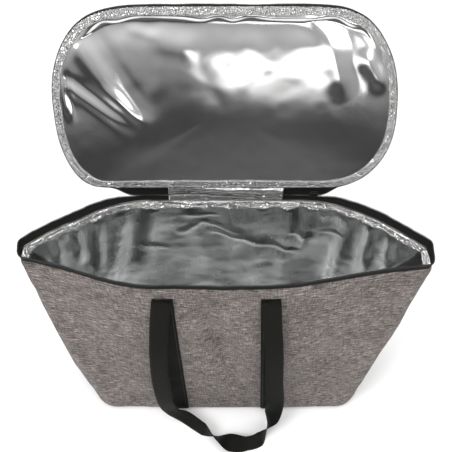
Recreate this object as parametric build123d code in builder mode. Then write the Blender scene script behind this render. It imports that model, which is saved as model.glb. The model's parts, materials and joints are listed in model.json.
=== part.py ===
"""Insulated tote cooler bag with a zip-round lid, standing open.

Frame: millimetres, +X along the bag's length, +Y towards the lid's hinge, +Z up.
The origin is the centre of the flat base, on the surface that the bag stands on.
"""

import os
from math import cos, radians, sin

from build123d import *

# ---- driving dimensions -------------------------------------------------
BASE_LENGTH = 390.0  # along X
BASE_DEPTH = 206.0  # along Y
BASE_CORNER = 32.0  # plan radius of the base's corners
BASE_BOW = 2.0  # how far the long edges of the base stand out between their corners
BEVEL = 5.0  # how far the base's lower edge is turned in
BEVEL_HEIGHT = 6.0

RIM_HEIGHT = 270.0
FRONT_FLAT, FRONT_RIM_Y = 88.0, -65.0  # where the front of the mouth starts to turn
BACK_FLAT, BACK_RIM_Y = 152.0, 85.0
TIP_X, TIP_FRONT_Y, TIP_BACK_Y = 264.0, -28.0, -13.0  # the mouth's narrow end, before rounding
FRONT_BEND, TIP_ROUND, BACK_BEND = 150.0, 9.0, 40.0  # plan radii of the mouth

FABRIC = 1.0  # outer polyester, with its backing
FOAM = 4.0
LINER = 0.6
BASE_FABRIC = 2.4  # doubled under the base
BOARD = 2.0
BASE_FOAM = 5.0
FACING_HEIGHT, FACING = 22.0, 0.5

WEB_WIDTH, WEB = 25.0, 1.4  # handle webbing
WEB_X = 67.0  # centre of each strap from the middle of its pair
FRONT_SHIFT = -8.0  # the front pair sits this far off the bag's middle
STRAP_TOP = 253.0
HANDLE_GAP = 0.8  # between a sewn strap and the loose webbing over it

TAPE, TAPE_HEIGHT, TAPE_FLARE, TAPE_INSET = 0.8, 6.0, 3.0, 2.2
COIL_WIDTH, COIL_THICK = 2.0, 2.2
COIL_GAP = 2.0  # between the two rows of teeth beside the hinge
HINGE_HALF = 78.0  # half the length of the fabric hinge
ZIP_END_X = 133.0  # where the two halves of the zip part

LID_LENGTH, LID_DEPTH, LID_CORNER = 434.0, 222.0, 86.0
LID_ANGLE = 62.0  # from horizontal, leaning back
LID_EDGE = 3.0  # from the hinge axis to the lid's near edge
HINGE_Z = RIM_HEIGHT + 18.0
HINGE_PLY = 0.7
LID_OUTER, LID_FOAM, LID_LINER, LID_FACING = 1.0, 5.4, 0.6, 0.8
LID_FACING_WIDTH = 12.0
LID_TAPE_DEPTH, LID_CLEAR = 10.0, 0.3  # CLEAR is between the lid's edge and its tape
LID_TAPE_GAP = 330.0  # along X, where the lid's tape leaves its edge for the fabric hinge

SLIDER_X = 120.0
SLIDER_LENGTH, SLIDER_PLATE, SLIDER_RUN = 12.0, 1.0, 0.3  # RUN is its clearance on the teeth
LUG_LENGTH, LUG_OUT, LUG_HEIGHT = 5.0, 3.2, 3.0
PIN_R, PIN_OUT = 0.7, 2.2  # pin that holds the pull, and how far out of the slider it is
PULL_LENGTH, PULL_THICK, PULL_EAR = 30.0, 1.4, 1.2

ZIP_Y = BACK_RIM_Y - TAPE_INSET + TAPE_FLARE  # plane of the teeth beside the hinge
COIL_Z = RIM_HEIGHT + TAPE_HEIGHT
CHAIN_Z = COIL_Z + COIL_WIDTH + COIL_GAP / 2  # middle of the two rows of teeth
HINGE_Y = ZIP_Y - TAPE / 2  # the hinge axis is straight above the teeth
HUGE = 1200.0


# ---- shared outlines and fills -----------------------------------------
def base_corners():
    x, y = BASE_LENGTH / 2, BASE_DEPTH / 2
    half = [(FRONT_FLAT, -y), (x, BASE_BOW - y), (x, y - BASE_BOW), (BACK_FLAT, y)]
    return half, [FRONT_BEND, BASE_CORNER, BASE_CORNER, FRONT_BEND]


def mouth_corners():
    half = [
        (FRONT_FLAT, FRONT_RIM_Y),
        (TIP_X, TIP_FRONT_Y),
        (TIP_X, TIP_BACK_Y),
        (BACK_FLAT, BACK_RIM_Y),
    ]
    return half, [FRONT_BEND, TIP_ROUND, TIP_ROUND, BACK_BEND]


def outline(corners, height, inset):
    """An outline in plan at a height, the same left and right, moved in by inset."""
    half, radii = corners
    mirrored = [(-x, y) for x, y in reversed(half)]
    with BuildSketch(Plane.XY.offset(height)) as sketch:
        with BuildLine():
            FilletPolyline(*half, *mirrored, radius=radii + radii[::-1], close=True)
        make_face()
        if inset:
            offset(amount=-inset, mode=Mode.REPLACE)
    return sketch.sketch


def bag_fill(inset):
    """The whole inside of the bag's outer surface, moved in by inset."""
    with BuildPart() as fill:
        add(outline(base_corners(), 0, inset + BEVEL))
        add(outline(base_corners(), BEVEL_HEIGHT, inset))
        add(outline(mouth_corners(), RIM_HEIGHT, inset))
        loft(ruled=True)
    return fill.part


def rim_fill(inset, low, high, flare):
    """A prism on the mouth's outline that widens by flare from low to high."""
    with BuildPart() as fill:
        add(outline(mouth_corners(), low, inset))
        add(outline(mouth_corners(), high, inset - flare))
        loft(ruled=True)
    return fill.part


def save(part, label):
    part.label = label
    export_step(part, os.path.join("parts", f"{label}.step"))


os.makedirs("parts", exist_ok=True)

TIP_Y = (TIP_FRONT_Y + TIP_BACK_Y) / 2
seam_plane = Plane(
    origin=(0, 0, 0), x_dir=(1, 0, 0), z_dir=(0, RIM_HEIGHT, -TIP_Y)
)  # holds both side seams
shell_fill = bag_fill(0)
foam_fill = bag_fill(FABRIC)
liner_fill = bag_fill(FABRIC + FOAM)
cavity_fill = bag_fill(FABRIC + FOAM + LINER)
facing_fill = bag_fill(FABRIC + FOAM + LINER + FACING)

BOARD_Z = BASE_FABRIC
BASE_FOAM_Z = BOARD_Z + BOARD
BASE_LINER_Z = BASE_FOAM_Z + BASE_FOAM
FLOOR_Z = BASE_LINER_Z + LINER  # top of the liner inside the bag


def wall(outside, inside, above, keep):
    """Half of a wall between two fills, in front of or behind the side seams."""
    with BuildPart() as half:
        add(outside)
        add(inside, mode=Mode.SUBTRACT)
        split(bisect_by=Plane.XY.offset(above), keep=Keep.TOP)
        split(bisect_by=seam_plane, keep=keep)
    return half.part


def slab(fill, low, high):
    """The part of a fill between two heights."""
    with BuildPart() as layer:
        add(fill)
        split(bisect_by=Plane.XY.offset(low), keep=Keep.TOP)
        split(bisect_by=Plane.XY.offset(high), keep=Keep.BOTTOM)
    return layer.part


# ---- outer shell, insulation and liner -----------------------------------
FRONT, BACK = Keep.BOTTOM, Keep.TOP
save(wall(shell_fill, foam_fill, BASE_FABRIC, FRONT), "front_panel")
save(wall(shell_fill, foam_fill, BASE_FABRIC, BACK), "back_panel")
save(wall(foam_fill, liner_fill, BASE_LINER_Z, FRONT), "foam_front")
save(wall(foam_fill, liner_fill, BASE_LINER_Z, BACK), "foam_back")
save(wall(liner_fill, cavity_fill, FLOOR_Z, FRONT), "liner_front")
save(wall(liner_fill, cavity_fill, FLOOR_Z, BACK), "liner_back")
save(slab(shell_fill, 0, BASE_FABRIC), "base_panel")
save(slab(foam_fill, BOARD_Z, BASE_FOAM_Z), "base_board")
save(slab(foam_fill, BASE_FOAM_Z, BASE_LINER_Z), "foam_base")
save(slab(liner_fill, BASE_LINER_Z, FLOOR_Z), "liner_base")

# ---- foil facing round the inside of the mouth ---------------------------
with BuildPart() as rim_facing:
    add(slab(cavity_fill, RIM_HEIGHT - FACING_HEIGHT, RIM_HEIGHT))
    add(slab(facing_fill, RIM_HEIGHT - FACING_HEIGHT, RIM_HEIGHT), mode=Mode.SUBTRACT)
save(rim_facing.part, "rim_facing")

# ---- straps sewn flat to the front and back, from the base seam up ------
def front_y(z):
    """Y of the front panel's outer face at a height, between the bends."""
    return -BASE_DEPTH / 2 + (FRONT_RIM_Y + BASE_DEPTH / 2) * rise(z)


def back_y(z):
    return BASE_DEPTH / 2 + (BACK_RIM_Y - BASE_DEPTH / 2) * rise(z)


def rise(z):
    """How far up the wall a height is, from 0 at the bevel to 1 at the rim."""
    return (z - BEVEL_HEIGHT) / (RIM_HEIGHT - BEVEL_HEIGHT)


def sewn_strap(middle, wall_y, out):
    with BuildPart() as strap:
        with BuildSketch(Plane.YZ.offset(middle)):
            Polygon(
                (wall_y(BEVEL_HEIGHT), BEVEL_HEIGHT),
                (wall_y(BEVEL_HEIGHT) + out * WEB, BEVEL_HEIGHT),
                (wall_y(STRAP_TOP) + out * WEB, STRAP_TOP),
                (wall_y(STRAP_TOP), STRAP_TOP),
                align=None,
            )
        extrude(amount=WEB_WIDTH / 2, both=True)
    return strap.part


for name, middle in (("left", -WEB_X), ("right", WEB_X)):
    save(sewn_strap(middle + FRONT_SHIFT, front_y, -1), f"front_strap_{name}")
    save(sewn_strap(middle, back_y, 1), f"back_strap_{name}")


# ---- carrying handles: loose loops that hang from the tops of the straps -
LOOP_LIFT = 0.6  # the loop lies this far above the surface
LOOP_FORWARD = 66.0  # how far it lies out beyond the base
LOOP_BULGE = 12.0  # how far the hanging webbing stands off the panel
LEG_END_Z = 14.0
FOLD_R = 1.2  # the fold over the top of the strap, which the loop turns on


def handle(wall_y, side, shift):
    """A loop of webbing: two hanging legs, and a bight that stands on its edge."""
    gap = side * (WEB + HANDLE_GAP + WEB / 2)
    middle_z = STRAP_TOP / 2
    foot_y = wall_y(BEVEL_HEIGHT) + side * 2 * WEB + gap
    bight_y = side * (BASE_DEPTH / 2 + LOOP_FORWARD)
    with BuildPart() as loop:
        for middle in (shift - WEB_X, shift + WEB_X):
            with BuildSketch(Plane.YZ.offset(middle)):
                with BuildLine():
                    Spline(
                        (wall_y(STRAP_TOP) + gap, STRAP_TOP),
                        (wall_y(middle_z) + gap + side * LOOP_BULGE, middle_z),
                        (foot_y + side * LOOP_BULGE, LEG_END_Z),
                    )
                trace(line_width=WEB)
                with Locations((wall_y(STRAP_TOP) + gap, STRAP_TOP)):
                    Circle(FOLD_R)
            extrude(amount=WEB_WIDTH / 2, both=True)
        with BuildSketch(Plane.XY.offset(LOOP_LIFT)):
            with BuildLine():
                Spline(
                    (shift - WEB_X, foot_y + side * LOOP_BULGE),
                    (shift, bight_y - side * WEB),
                    (shift + WEB_X, foot_y + side * LOOP_BULGE),
                    tangents=[(0.3, side), (0.3, -side)],
                )
            trace(line_width=WEB)
        extrude(amount=WEB_WIDTH)
    return loop.part


save(handle(front_y, -1, FRONT_SHIFT), "front_handle")
save(handle(back_y, 1, 0), "back_handle")


# ---- the bag's half of the zip ------------------------------------------
def clear_of_hinge(half):
    """Cuts away what lies behind the fabric hinge."""
    with Locations((0, BACK_RIM_Y, RIM_HEIGHT)):
        Box(2 * half, 60, 80, mode=Mode.SUBTRACT)


with BuildPart() as zip_tape_bag:
    add(rim_fill(TAPE_INSET, RIM_HEIGHT, COIL_Z, TAPE_FLARE))
    add(rim_fill(TAPE_INSET + TAPE, RIM_HEIGHT, COIL_Z, TAPE_FLARE), mode=Mode.SUBTRACT)
    clear_of_hinge(HINGE_HALF)
save(zip_tape_bag.part, "zip_tape_bag")

COIL_INSET = TAPE_INSET - TAPE_FLARE + TAPE / 2 - COIL_THICK / 2
with BuildPart() as zip_teeth_bag:
    add(rim_fill(COIL_INSET, COIL_Z, COIL_Z + COIL_WIDTH, 0))
    add(rim_fill(COIL_INSET + COIL_THICK, COIL_Z, COIL_Z + COIL_WIDTH, 0), mode=Mode.SUBTRACT)
    clear_of_hinge(HINGE_HALF)
save(zip_teeth_bag.part, "zip_teeth_bag")

# beside the hinge the lid's half of the zip comes down to meet the bag's half
UPPER_COIL_Z = COIL_Z + COIL_WIDTH + COIL_GAP
STRIP_TOP = HINGE_Z - 2.0  # of the tape beside the hinge


def zip_end(side):
    """The end of the lid's zip tape, with its teeth, beside the fabric hinge."""
    middle = side * (HINGE_HALF + ZIP_END_X) / 2
    length = ZIP_END_X - HINGE_HALF
    teeth_z = UPPER_COIL_Z + COIL_WIDTH / 2
    with BuildPart() as end:
        with Locations((middle, HINGE_Y, teeth_z)):
            Box(length, COIL_THICK, COIL_WIDTH)
        with Locations((middle, HINGE_Y, (UPPER_COIL_Z + STRIP_TOP) / 2)):
            Box(length, TAPE, STRIP_TOP - UPPER_COIL_Z)
    return end.part


save(zip_end(-1), "zip_end_left")
save(zip_end(1), "zip_end_right")

# ---- fabric hinge: foil facing inside, bag fabric outside ----------------
HINGE_ROOT_Z = RIM_HEIGHT + 0.2
HINGE_ROOT_Y = BACK_RIM_Y - TAPE_INSET - TAPE / 2


HINGE_SHIFT = HINGE_PLY / 2 + 0.05  # from the hinge's middle to the middle of each ply


def hinge_ply(shift, fold_radius):
    """One ply of the hinge, from the rim to the fold that the lid turns on."""
    with BuildPart() as ply:
        with BuildSketch(Plane.YZ):
            with BuildLine():
                Polyline(
                    (HINGE_ROOT_Y + shift, HINGE_ROOT_Z),
                    (HINGE_Y + shift, COIL_Z),
                    (HINGE_Y + shift, HINGE_Z - fold_radius),
                )
            trace(line_width=HINGE_PLY)
            if shift > 0:
                with Locations((HINGE_Y, HINGE_Z)):
                    Circle(fold_radius)
        extrude(amount=HINGE_HALF - 0.2, both=True)
    return ply.part


save(hinge_ply(-HINGE_SHIFT, 2 * HINGE_PLY), "hinge_facing")
save(hinge_ply(HINGE_SHIFT, HINGE_PLY), "hinge_fabric")

# ---- lid -----------------------------------------------------------------
lean = radians(LID_ANGLE)
lid_plane = Plane(
    origin=(0, HINGE_Y, HINGE_Z), x_dir=(1, 0, 0), z_dir=(0, -sin(lean), cos(lean))
)  # Y runs up the lid from the hinge axis, and Z points out of its foil side
LID_MIDDLE = LID_EDGE + LID_DEPTH / 2
LID_BACK = -(LID_OUTER + LID_FOAM + LID_LINER) / 2


def lid_outline(height, grow=0.0):
    with BuildSketch(lid_plane.offset(height)) as sketch:
        with Locations((0, LID_MIDDLE)):
            RectangleRounded(
                LID_LENGTH + 2 * grow, LID_DEPTH + 2 * grow, LID_CORNER + grow
            )
    return sketch.sketch


def lid_layer(low, thickness, grow=0.0):
    with BuildPart() as layer:
        add(lid_outline(low, grow))
        extrude(amount=thickness)
    return layer.part


LID_FOAM_AT = LID_BACK + LID_OUTER
LID_LINER_AT = LID_FOAM_AT + LID_FOAM
LID_FACING_AT = LID_LINER_AT + LID_LINER
save(lid_layer(LID_BACK, LID_OUTER), "lid_panel")
save(lid_layer(LID_FOAM_AT, LID_FOAM), "lid_foam")
save(lid_layer(LID_LINER_AT, LID_LINER), "lid_liner")

with BuildPart() as lid_facing:
    add(lid_layer(LID_FACING_AT, LID_FACING))
    add(lid_layer(LID_FACING_AT, LID_FACING, -LID_FACING_WIDTH), mode=Mode.SUBTRACT)
save(lid_facing.part, "lid_facing")


def lid_band(near, far, inner_grow, thickness):
    """A band round the lid's edge, open where the fabric hinge and the zip's ends are."""
    with BuildPart() as band:
        add(lid_layer(far, near - far, inner_grow + thickness))
        add(lid_layer(far, near - far, inner_grow), mode=Mode.SUBTRACT)
        with Locations(lid_plane.location):
            Box(LID_TAPE_GAP, 2 * (LID_EDGE + LID_CORNER / 3), 80, mode=Mode.SUBTRACT)
    return band.part


save(lid_band(0, -LID_TAPE_DEPTH, LID_CLEAR, TAPE), "zip_tape_lid")
LID_COIL_GROW = LID_CLEAR + (TAPE - COIL_THICK) / 2
save(
    lid_band(-LID_TAPE_DEPTH, -LID_TAPE_DEPTH - COIL_WIDTH, LID_COIL_GROW, COIL_THICK),
    "zip_teeth_lid",
)

# ---- zip slider and its pull ----------------------------------------------
CHANNEL = COIL_THICK + 2 * SLIDER_RUN
CHANNEL_HEIGHT = 2 * COIL_WIDTH + COIL_GAP + 2 * SLIDER_RUN
SLIDER_HEIGHT = CHANNEL_HEIGHT + 1.2
TAPE_SLOT = TAPE + 1.2
BODY = CHANNEL + 2 * SLIDER_PLATE
POST_LENGTH = 2.6  # the wedge between the rows of teeth
PLATE_Y = HINGE_Y + BODY / 2  # outer face of the slider
PIN_Y = PLATE_Y + PIN_OUT
slider_centre = (SLIDER_X, HINGE_Y, CHAIN_Z)
with BuildPart() as zip_slider:
    with Locations(slider_centre):
        Box(SLIDER_LENGTH, BODY, SLIDER_HEIGHT)
    fillet(zip_slider.edges().filter_by(Axis.Y), radius=2.0)
    with Locations(slider_centre):
        Box(HUGE, CHANNEL, CHANNEL_HEIGHT, mode=Mode.SUBTRACT)
        Box(HUGE, TAPE_SLOT, HUGE, mode=Mode.SUBTRACT)
    with Locations((SLIDER_X + (SLIDER_LENGTH - POST_LENGTH) / 2, HINGE_Y, CHAIN_Z)):
        Box(POST_LENGTH, BODY - SLIDER_PLATE, COIL_GAP - 2 * SLIDER_RUN)
    with Locations((SLIDER_X, PLATE_Y + LUG_OUT / 2, CHAIN_Z)):
        Box(LUG_LENGTH, LUG_OUT, LUG_HEIGHT)
    with Locations((SLIDER_X, PIN_Y, CHAIN_Z)):
        Cylinder(PIN_R, LUG_HEIGHT + 2 * PULL_EAR + 0.4)
save(zip_slider.part, "zip_slider")

PULL_HEIGHT = LUG_HEIGHT + 2 * PULL_EAR + 0.4
with BuildPart() as zip_pull:
    with Locations((SLIDER_X - PULL_LENGTH / 2, PIN_Y, CHAIN_Z)):
        Box(PULL_LENGTH, PULL_THICK, PULL_HEIGHT)
    fillet(zip_pull.edges().filter_by(Axis.Y), radius=1.2)
    with Locations((SLIDER_X, PIN_Y, CHAIN_Z)):
        Cylinder(1.6, PULL_HEIGHT)
        Box(2 * LUG_LENGTH, HUGE, LUG_HEIGHT + 0.4, mode=Mode.SUBTRACT)
        Cylinder(PIN_R + 0.08, HUGE, mode=Mode.SUBTRACT)
save(zip_pull.part, "zip_pull")
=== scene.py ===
"""Looks of the insulated tote cooler: soft walls, foil lining, padded lid, zip and webbing, around the CAD frame."""

import json
import math

import bmesh
import bpy
import numpy as np
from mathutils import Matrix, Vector, noise


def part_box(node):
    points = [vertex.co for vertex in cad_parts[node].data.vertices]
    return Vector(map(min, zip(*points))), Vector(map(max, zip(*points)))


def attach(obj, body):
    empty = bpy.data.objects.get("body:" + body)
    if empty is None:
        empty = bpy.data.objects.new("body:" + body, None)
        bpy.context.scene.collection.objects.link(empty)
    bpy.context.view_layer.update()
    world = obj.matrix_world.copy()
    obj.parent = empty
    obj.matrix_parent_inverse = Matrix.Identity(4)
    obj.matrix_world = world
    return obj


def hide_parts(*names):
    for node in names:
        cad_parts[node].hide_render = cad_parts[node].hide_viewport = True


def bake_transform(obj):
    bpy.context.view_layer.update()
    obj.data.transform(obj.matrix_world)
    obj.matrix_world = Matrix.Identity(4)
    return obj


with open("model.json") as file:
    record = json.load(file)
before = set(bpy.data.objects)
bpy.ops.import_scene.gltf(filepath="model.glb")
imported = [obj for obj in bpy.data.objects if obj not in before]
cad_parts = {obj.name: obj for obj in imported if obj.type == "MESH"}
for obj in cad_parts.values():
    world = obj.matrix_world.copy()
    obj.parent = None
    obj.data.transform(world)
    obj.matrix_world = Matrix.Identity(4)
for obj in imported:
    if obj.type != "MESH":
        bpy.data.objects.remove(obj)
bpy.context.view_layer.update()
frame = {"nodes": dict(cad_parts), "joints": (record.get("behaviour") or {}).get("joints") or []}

# ---- sizes, in metres ----------------------------------------------------
RIM_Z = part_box("front_panel")[1].z
BASE_X, BASE_Y, BASE_BOW, BASE_R = 0.195, 0.103, 0.002, 0.032
FRONT_FLAT, FRONT_RIM_Y = 0.088, -0.065
BACK_FLAT, BACK_RIM_Y = 0.152, 0.085
TIP_X, TIP_FRONT_Y, TIP_BACK_Y, TIP_R = 0.264, -0.028, -0.013, 0.009
BEVEL, BEVEL_Z = 0.0032, 0.006
FABRIC, FOAM, LINER = 0.001, 0.004, 0.0006
WEB_WIDTH, WEB = 0.025, 0.0014
STRAP_X = 0.067
STRAP_TOP = 0.253
TAPE_T = 0.0008
HINGE_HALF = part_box("hinge_facing")[1].x

joints = {j["name"]: j for j in frame["joints"]}
PIVOT = np.array(joints["lid_hinge"]["pos_m"])
LEAN = math.radians(62)
LID_UP = np.array([0, math.cos(LEAN), math.sin(LEAN)])  # from the hinge towards the lid's far edge
LID_OUT = np.array([0, -math.sin(LEAN), math.cos(LEAN)])  # out of the lid's foil side
LID_EDGE = 0.003  # from the hinge line to the lid's bottom edge


# ---- mesh helpers ----------------------------------------------------------
def smoothstep(low, high, value):
    t = np.clip((np.asarray(value, float) - low) / (high - low), 0, 1)
    return t * t * (3 - 2 * t)


def bell(value, middle, width):
    return np.exp(-(((np.asarray(value, float) - middle) / width) ** 2))


def unit(v):
    return v / np.maximum(np.linalg.norm(v, axis=-1, keepdims=True), 1e-12)


def lumps(points, size, seed=0.0, octaves=3):
    """Smooth noise from about -1 to 1 at each point, with features of a given size in metres."""
    flat = np.asarray(points, float).reshape(-1, 3) / size
    values = [noise.fractal(Vector(p) + Vector((seed, seed * 1.7, -seed)), 0.6, 2.1, octaves) for p in flat]
    return np.array(values).reshape(np.asarray(points).shape[:-1])


def arc_lengths(line):
    steps = np.linalg.norm(np.diff(line, axis=0), axis=1)
    return np.concatenate([[0.0], np.cumsum(steps)])


def resample(line, count):
    """The same open line, with points at even distances."""
    along = arc_lengths(line)
    places = np.linspace(0, along[-1], count)
    return np.stack([np.interp(places, along, line[:, k]) for k in range(3)], axis=1)


def spline(points, count):
    """A smooth Catmull-Rom curve through a few points, evenly resampled."""
    p = np.array(points, float)
    p = np.vstack([2 * p[0] - p[1], p, 2 * p[-1] - p[-2]])
    t = np.linspace(0, 1, 25)[:-1, None]
    spans = []
    for a, b, c, d in zip(p[:-3], p[1:-2], p[2:-1], p[3:]):
        square, cube = 2 * a - 5 * b + 4 * c - d, 3 * b - a - 3 * c + d
        spans.append(0.5 * (2 * b + (c - a) * t + square * t**2 + cube * t**3))
    return resample(np.vstack([*spans, p[-2:-1]]), count)


def grid_faces(rows, cols, wrap, start=0, flip=False):
    """Quads over a grid of rows x cols points, and each quad's own rows and columns for its UVs."""
    faces, cells = [], []
    for i in range(rows - 1):
        for j in range(cols if wrap else cols - 1):
            k = (j + 1) % cols
            low, high = start + i * cols, start + (i + 1) * cols
            quad = [low + j, low + k, high + k, high + j]
            cell = [(i, j), (i, j + 1), (i + 1, j + 1), (i + 1, j)]
            faces.append(quad[::-1] if flip else quad)
            cells.append(cell[::-1] if flip else cell)
    return faces, cells


def finish_mesh(name, points, faces, loop_uv=None):
    mesh = bpy.data.meshes.new(name)
    mesh.from_pydata(np.asarray(points, float).reshape(-1, 3).tolist(), [], faces)
    if loop_uv is not None:
        layer = mesh.uv_layers.new(name="UVMap")
        layer.data.foreach_set("uv", np.asarray(loop_uv, np.float32).ravel())
    mesh.polygons.foreach_set("use_smooth", [True] * len(mesh.polygons))
    obj = bpy.data.objects.new(name, mesh)
    bpy.context.scene.collection.objects.link(obj)
    return obj


def grid_uv(points, wrap):
    """UVs in metres: along the rows, and across them."""
    closed = np.concatenate([points, points[:, :1]], axis=1) if wrap else points
    along = np.linalg.norm(np.diff(closed, axis=1), axis=2)
    across = np.linalg.norm(np.diff(points, axis=0), axis=2).mean(axis=1)
    u = np.concatenate([[0.0], np.cumsum(along.mean(axis=0))])
    v = np.concatenate([[0.0], np.cumsum(across)])
    return u - u.mean(), v


def thick_sheet(name, outer, inner, wrap=False, uv=None):
    """A closed sheet between two grids of the same shape. uv is a value per column and row, or per point."""
    rows, cols = outer.shape[:2]
    u, v = uv or grid_uv(outer, wrap)
    faces, cells = grid_faces(rows, cols, wrap)
    back, back_cells = grid_faces(rows, cols, wrap, start=rows * cols, flip=True)
    faces += back
    cells += back_cells
    shift = rows * cols
    for i, flip in ((0, True), (rows - 1, False)):
        for j in range(cols if wrap else cols - 1):
            k = (j + 1) % cols
            quad = [i * cols + j, i * cols + k, shift + i * cols + k, shift + i * cols + j]
            cell = [(i, j), (i, j + 1), (i, j + 1), (i, j)]
            faces.append(quad if flip else quad[::-1])
            cells.append(cell if flip else cell[::-1])
    if not wrap:
        for j, flip in ((0, False), (cols - 1, True)):
            for i in range(rows - 1):
                quad = [i * cols + j, (i + 1) * cols + j, shift + (i + 1) * cols + j, shift + i * cols + j]
                cell = [(i, j), (i + 1, j), (i + 1, j), (i, j)]
                faces.append(quad if flip else quad[::-1])
                cells.append(cell if flip else cell[::-1])
    if np.ndim(u) == 2:
        loop_uv = [(u[i, j % cols], v[i, j % cols]) for cell in cells for i, j in cell]
    else:
        loop_uv = [(u[j], v[i]) for cell in cells for i, j in cell]
    obj = finish_mesh(name, np.concatenate([outer.reshape(-1, 3), inner.reshape(-1, 3)]), faces, loop_uv)
    face_outwards(obj)
    return obj


WELD = 1e-6


def face_outwards(obj):
    """Welds points that coincide and turns every face outwards."""
    bm = bmesh.new()
    bm.from_mesh(obj.data)
    bmesh.ops.remove_doubles(bm, verts=bm.verts, dist=WELD)
    bmesh.ops.recalc_face_normals(bm, faces=bm.faces)
    bm.to_mesh(obj.data)
    bm.free()


def grid_normals(points, wrap):
    """Unit normals of a grid, on the side where rows x columns turn right-handed."""
    if wrap:
        along = np.roll(points, -1, axis=1) - np.roll(points, 1, axis=1)
    else:
        along = np.gradient(points, axis=1)
    across = np.gradient(points, axis=0)
    return unit(np.cross(along, across))


def ribbon(name, centre, across, width, thick, strips=8):
    """A flat band along a line. across is the unit direction of its width at each point."""
    tangent = unit(np.gradient(centre, axis=0))
    across = unit(across - tangent * np.sum(across * tangent, axis=1, keepdims=True))
    face = np.cross(tangent, across)
    s = np.linspace(-1, 1, strips + 1)
    depth = thick / 2 * (1 - 0.75 * np.abs(s) ** 8)
    middle = centre[:, None] + across[:, None] * (s * width / 2)[None, :, None]
    lift = face[:, None] * depth[None, :, None]
    uv = (s * width / 2, arc_lengths(centre))
    return thick_sheet(name, middle + lift, middle - lift, uv=uv)


def bead(rings=5, sides=8, power=0.7):
    """Points and faces of a rounded block two units long each way."""
    points, faces = [], []
    for i in range(rings + 1):
        phi = math.pi * i / rings - math.pi / 2
        for j in range(sides):
            theta = 2 * math.pi * j / sides
            raw = (math.cos(phi) * math.cos(theta), math.cos(phi) * math.sin(theta), math.sin(phi))
            points.append([math.copysign(abs(c) ** power, c) for c in raw])
    for i in range(rings):
        for j in range(sides):
            k = (j + 1) % sides
            faces.append([i * sides + j, i * sides + k, (i + 1) * sides + k, (i + 1) * sides + j])
    return np.array(points), faces


def scatter(name, places, along, outward, half_sizes, power=0.7):
    """One mesh of many small rounded blocks. half_sizes run along, across and outward."""
    template, faces = bead(power=power)
    along = unit(along)
    outward = unit(outward - along * np.sum(outward * along, axis=1, keepdims=True))
    across = np.cross(outward, along)
    basis = np.stack([across, outward, along], axis=1)
    scaled = template * np.array([half_sizes[1], half_sizes[2], half_sizes[0]])
    points = places[:, None] + np.einsum("tk,nkc->ntc", scaled, basis)
    step = len(template)
    all_faces = [[step * n + v for v in f] for n in range(len(places)) for f in faces]
    obj = finish_mesh(name, points, all_faces)
    face_outwards(obj)
    return obj


def stitch_row(line, outward, length=0.0030, gap=0.0011):
    """Places, directions and normals of stitches along a line."""
    total = arc_lengths(line)[-1]
    count = max(int(total / (length + gap)), 1)
    even = resample(line, 2 * count + 1)[1::2]
    along = unit(np.gradient(resample(line, 2 * count + 1), axis=0))[1::2]
    share = np.linspace(0, 1, len(line))
    spots = np.linspace(0, 1, 2 * count + 1)[1::2]
    normals = np.stack([np.interp(spots, share, outward[:, k]) for k in range(3)], axis=1)
    return even, along, unit(normals)


def stitches(name, rows, body, length=0.0030, radius=0.00032, material=None, slot="black_webbing"):
    parts = [stitch_row(line, outward, length) for line, outward in rows]
    places, along, outward = (np.concatenate([p[k] for p in parts]) for k in range(3))
    obj = scatter(name, places, along, outward, (length / 2, radius, radius), power=0.8)
    return dress(obj, body, material or thread, slot)


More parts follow.
